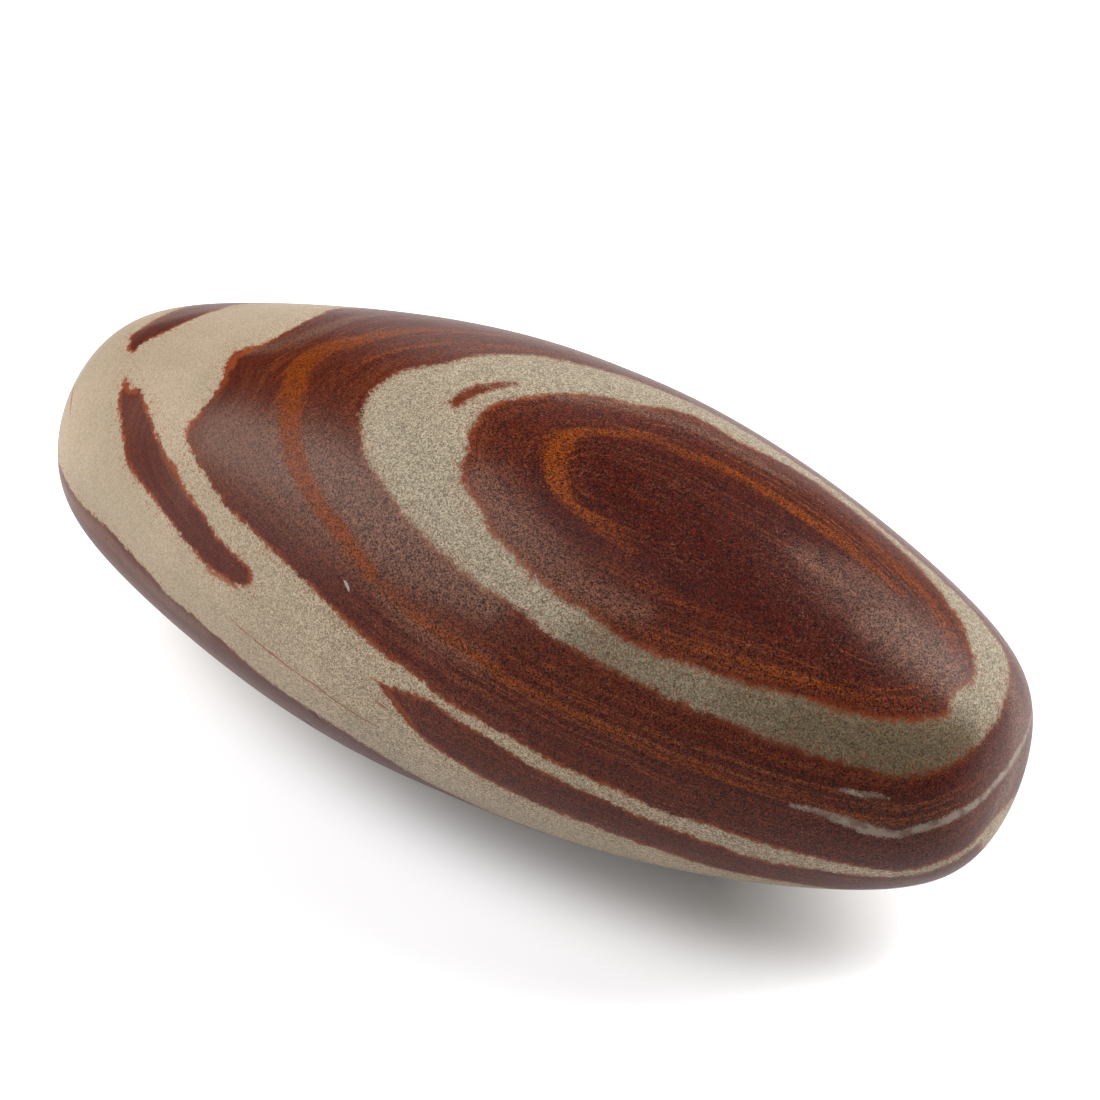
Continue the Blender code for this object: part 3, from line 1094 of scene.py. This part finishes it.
def light_wall(name, panels, glow, middle):
    """Square area lights facing the stone's middle, out of the camera's sight.

    The glow is in watts a square metre a steradian, and each panel gives its share of it. Each
    stands at (cos elevation * cos bearing, cos elevation * sin bearing, sin elevation) from the
    middle, times the panel distance.
    """
    for number, (bearing, elevation, share) in enumerate(panels):
        bearing, lift = math.radians(bearing), math.radians(elevation)
        facing = np.array((math.cos(lift) * math.cos(bearing),
                           math.cos(lift) * math.sin(bearing), math.sin(lift)))
        level = unit(np.cross((0.0, 0.0, 1.0), facing))
        place = np.identity(4)
        place[:3, 0], place[:3, 1], place[:3, 2] = level, np.cross(facing, level), facing
        place[:3, 3] = middle + facing * PANEL_DISTANCE
        lamp = bpy.data.lights.new(f"{name}_{number}", 'AREA')
        lamp.shape = 'SQUARE'
        lamp.size = PANEL_SIZE
        lamp.energy = glow * share * math.pi * PANEL_SIZE**2
        panel = bpy.data.objects.new(f"{name}_{number}", lamp)
        panel.matrix_world = Matrix(place.tolist())
        panel.visible_camera = False
        bpy.context.scene.collection.objects.link(panel)


def add_camera(sizes, studio):
    """The camera that the seen points are given for."""
    eye, back, right, up = camera_place(sizes, studio)
    lens = bpy.data.cameras.new("camera")
    lens.lens = studio.lens
    lens.sensor_width = SENSOR
    lens.sensor_fit = 'HORIZONTAL'
    lens.clip_start = 0.01
    camera = bpy.data.objects.new("camera", lens)
    place = np.identity(4)
    place[:3, 0], place[:3, 1], place[:3, 2] = right, up, back
    place[:3, 3] = (eye + heart(sizes)) * MM
    camera.matrix_world = Matrix(place.tolist())
    bpy.context.scene.collection.objects.link(camera)
    bpy.context.scene.camera = camera


def soft_air(studio):
    """A faint even light from everywhere, behind which the camera sees a white room."""
    world = bpy.data.worlds.new("studio_air")
    world.use_nodes = True
    nodes, links = world.node_tree.nodes, world.node_tree.links
    air = nodes["Background"]
    air.inputs["Color"].default_value = opaque(WHITE)
    path = nodes.new("ShaderNodeLightPath")
    glow = nodes.new("ShaderNodeMapRange")
    glow.inputs["To Min"].default_value = studio.air_glow
    glow.inputs["To Max"].default_value = 1.0
    links.new(path.outputs["Is Camera Ray"], glow.inputs["Value"])
    links.new(glow.outputs["Result"], air.inputs["Strength"])
    bpy.context.scene.world = world


def length(title, about, default, least=0.001, most=1.0):
    return FloatProperty(name=title, description=about, default=default, min=least, max=most,
                         unit='LENGTH', precision=4)


def colour(title, about, default):
    return FloatVectorProperty(name=title, description=about, default=default, size=3,
                               subtype='COLOR', min=0.0, max=1.0)


def angle(title, about, degrees):
    return FloatProperty(name=title, description=about, default=math.radians(degrees),
                         subtype='ANGLE')


class StoneSizes(bpy.types.PropertyGroup):
    """The spindle's sizes. Its box is the solid's."""

    girth_radius: length("Girth Radius", "From the axis to the skin at the middle", 0.030)
    slim_point: length("Slim Point", "From the heart to the slim end, were it pointed", 0.0983)
    full_point: length("Full Point", "From the heart to the fuller end, were it pointed", 0.0894)
    slim_end: length("Slim End", "From the heart to the dome on the slim end", 0.0718)
    full_end: length("Full End", "From the heart to the dome on the fuller end", 0.0682)
    dome_spread: length("Dome Spread", "How widely each end's dome is drawn out", 0.090)
    heart_height: length("Heart Height", "Height of the heart over the table", 0.0285)
    heart_along: length("Heart Along", "The heart's place along X", 0.0018, -0.1)
    heart_across: length("Heart Across", "The heart's place along Y", -0.0005, -0.1)


class StoneColours(bpy.types.PropertyGroup):
    """The colours that the beds, stains, streaks, painted shade and painted sheen are mixed from.
    """

    light_rock: colour("Light Rock", "Greenish grey of the light beds", (0.234, 0.186, 0.128))
    light_rock_warm: colour("Warm Light Rock", "Beige clouds in it", (0.265, 0.207, 0.144))
    ring_rock: colour("Ring Rock", "Greyer sand of the ring round the eye", (0.214, 0.178, 0.126))
    # Painted shade: the colour laid on the ring's lower front run.
    painted_shade_rock: colour("Painted Shade Rock", "Painted shade along the ring's lower run",
                      (0.088, 0.064, 0.037))
    dark_rock: colour("Dark Rock", "Purple brown of the dark beds", (0.047, 0.0062, 0.0023))
    dark_rock_warm: colour("Warm Dark Rock", "Red brown clouds in it", (0.066, 0.0120, 0.0035))
    eye_core: colour("Eye Core", "Deep red of the eye's middle", (0.031, 0.0026, 0.0008))
    # Painted sheen: the colour laid where the dark rock's soft highlights fall.
    painted_sheen_rock: colour("Painted Sheen Rock", "Dark rock lightened by painted sheen", (0.098, 0.046, 0.030))
    brown_streak: colour("Brown Streak", "Thin streaks along the dark beds", (0.115, 0.031, 0.009))
    ochre: colour("Ochre", "The ochre bands", (0.108, 0.0205, 0.0014))
    rust: colour("Rust", "Rims, threads and specks of rust", (0.165, 0.033, 0.008))
    pale_streak: colour("Pale Streak", "The grey streak in the dark band", (0.215, 0.168, 0.13))


class StudioSettings(bpy.types.PropertyGroup):
    """Where the camera stands and how bright the light is."""

    bearing: angle("Camera Bearing", "Turn of the camera round the stone", 33.31)
    elevation: angle("Camera Elevation", "Height of the camera as an angle", 40.0)
    distance: length("Camera Distance", "From the stone's heart to the camera", 0.5)
    aim_right: length("Aim Right", "How far right of the heart it aims", 0.001607, -0.1)
    aim_up: length("Aim Up", "How far above the heart it aims", 0.00515, -0.1)
    lens: FloatProperty(name="Lens", description="Focal length for a 36 mm sensor",
                        default=126.4, min=10.0, max=400.0, unit='CAMERA')
    left_glow: FloatProperty(name="Left Light", default=10.4, min=0.0, max=50.0,
                             description="Brightness of the wall of light on the left")
    back_glow: FloatProperty(name="Back Light", default=16.5, min=0.0, max=50.0,
                             description="Brightness of the wall of light at the back right")
    air_glow: FloatProperty(name="Air", default=0.02, min=0.0, max=10.0,
                            description="Brightness of the light from all round")
    floor_glow: FloatProperty(name="Floor Glow", default=1.0, min=0.0, max=2.0,
                              description="Glow of the floor's far part")
    floor_radius: length("Floor Radius", "How far the floor reaches", 3.0, 0.3, 20.0)


class LINGAM_OT_banded_stone(bpy.types.Operator):
    """Adds the banded stone in place of its plain solid"""

    bl_idname = "lingam.banded_stone"
    bl_label = "Banded Stone"

    def execute(self, context):
        scene = context.scene
        mesh = skin_mesh(scene.stone_sizes, scene.studio_settings)
        mesh.materials.append(banded_finish(scene.stone_colours))
        piece = show("banded_stone_skin", mesh)
        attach(piece, "root")
        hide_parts("stone")
        return {'FINISHED'}


class LINGAM_OT_studio(bpy.types.Operator):
    """Adds the white floor, two walls of light, the air and the camera"""

    bl_idname = "lingam.studio"
    bl_label = "Studio"

    def execute(self, context):
        scene = context.scene
        studio = scene.studio_settings
        scene.view_settings.view_transform = 'Standard'
        floor = show("floor", floor_mesh(studio))
        floor.data.materials.append(floor_finish(studio))
        soft_air(studio)
        middle = heart(scene.stone_sizes) * MM
        light_wall("left_light", LEFT_WALL, studio.left_glow, middle)
        light_wall("back_light", BACK_WALL, studio.back_glow, middle)
        add_camera(scene.stone_sizes, studio)
        return {'FINISHED'}


class LINGAM_PT_panel(bpy.types.Panel):
    """The stone's pieces, sizes and colours"""

    bl_idname = "LINGAM_PT_panel"
    bl_label = "Shiva Lingam Stone"
    bl_space_type = 'VIEW_3D'
    bl_region_type = 'UI'
    bl_category = "Stone"

    def draw(self, context):
        layout = self.layout
        for operator in OPERATORS:
            layout.operator(operator.bl_idname)
        for owner in GROUPS:
            group = getattr(context.scene, owner)
            box = layout.box()
            for name in group.bl_rna.properties.keys():
                if name not in ("rna_type", "name"):
                    box.prop(group, name)


GROUPS = {
    "stone_sizes": StoneSizes,
    "stone_colours": StoneColours,
    "studio_settings": StudioSettings,
}
OPERATORS = (LINGAM_OT_banded_stone, LINGAM_OT_studio)
CLASSES = (*GROUPS.values(), *OPERATORS, LINGAM_PT_panel)


def register():
    for entry in CLASSES:
        bpy.utils.register_class(entry)
    for owner, group in GROUPS.items():
        setattr(bpy.types.Scene, owner, PointerProperty(type=group))


def unregister():
    for owner in GROUPS:
        delattr(bpy.types.Scene, owner)
    for entry in reversed(CLASSES):
        bpy.utils.unregister_class(entry)


def main():
    register()
    bpy.ops.lingam.banded_stone()
    bpy.ops.lingam.studio()


if __name__ == "__main__":
    main()
